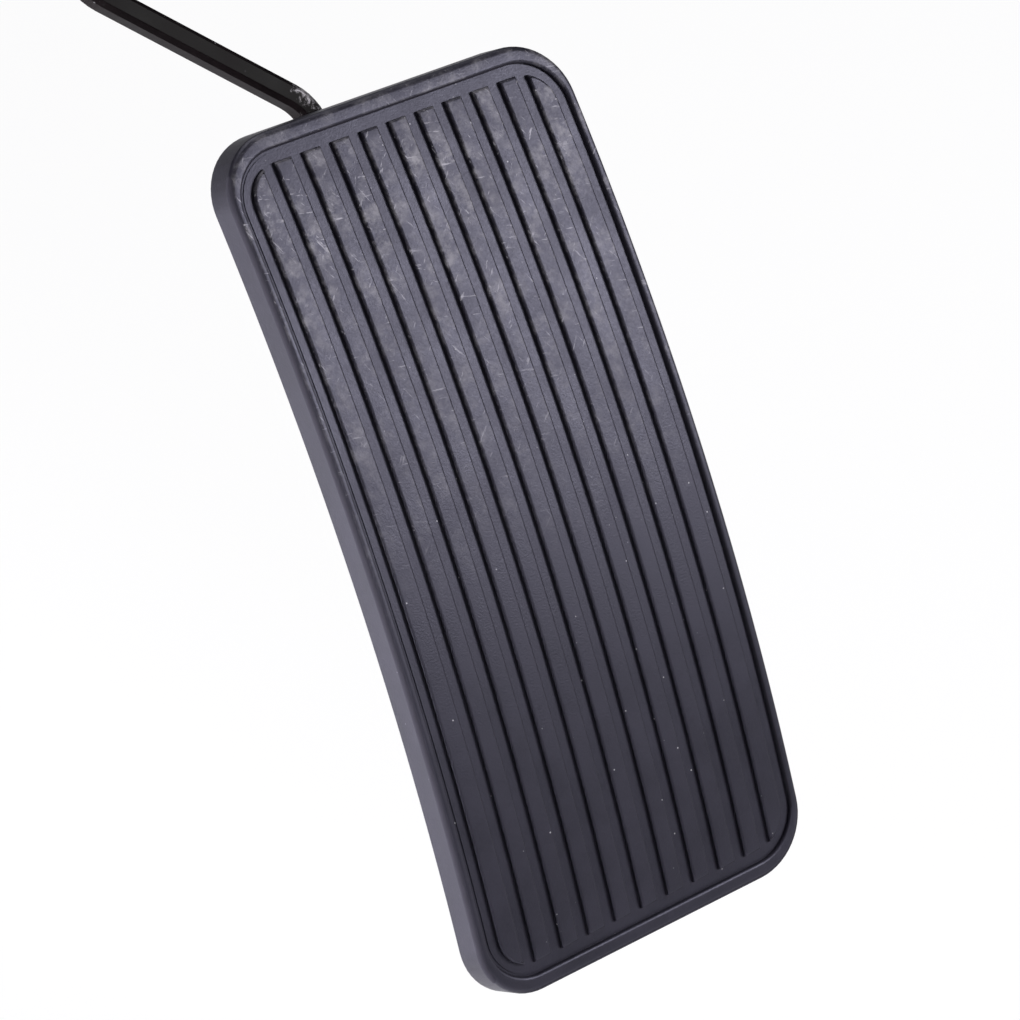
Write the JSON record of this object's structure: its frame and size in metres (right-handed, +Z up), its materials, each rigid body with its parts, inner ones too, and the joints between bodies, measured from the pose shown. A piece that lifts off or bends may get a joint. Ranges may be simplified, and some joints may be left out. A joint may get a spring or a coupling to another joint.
{
  "type": "accelerator pedal with position sensor",
  "caption": "Hanging accelerator pedal: ribbed rubber pad on a bent steel arm, sprung pivot in a bulkhead bracket with rubber stops and a rotary position sensor at its side.",
  "frame": {"origin": "middle of the bolt pattern, on the bracket's mounting face", "axes": "+Z up, +Y towards the bulkhead that the bracket bolts to, +X to the driver's right"},
  "size_m": [0.1206, 0.2111, 0.2839],
  "materials": {
    "rubber": "matt black moulded rubber",
    "plate_steel": "black primed steel",
    "black_paint": "gloss black paint on steel",
    "plated_steel": "zinc plated",
    "spring_steel": "oiled spring steel",
    "bush_plastic": "natural acetal",
    "case_plastic": "black glass-filled plastic",
    "contact_brass": "plain brass",
    "board": "green laminate with carbon tracks"
  },
  "bodies": {
    "mounting": {"bracket": "black_paint", "bush_left": "bush_plastic", "bush_right": "bush_plastic", "idle_stop_buffer": "rubber", "full_stop_buffer": "rubber", "return_spring": "spring_steel", "sensor_case": "case_plastic", "connector_pins": "contact_brass", "sensor_board": "board", "cover_seal": "rubber", "sensor_cover": "case_plastic", "sensor_screws": "plated_steel"},
    "pedal": {"pedal_arm": "black_paint", "pad_plate": "plate_steel", "pad_cover": "rubber", "hub_tube": "black_paint", "pivot_shaft": "plated_steel", "shaft_washer": "plated_steel", "shaft_clip": "spring_steel", "stop_lever": "black_paint", "sensor_rotor": "bush_plastic", "wiper_brushes": "contact_brass"}
  },
  "joints": [
    {"name": "pedal_pivot", "type": "hinge", "parent": "mounting", "child": "pedal", "pos_m": [0, -0.034, 0], "axis": [1, 0, 0], "range_deg": [0, 16], "stiffness_Nm_per_rad": 12, "springref_deg": -11.46, "deforming": ["return_spring"]}
  ]
}
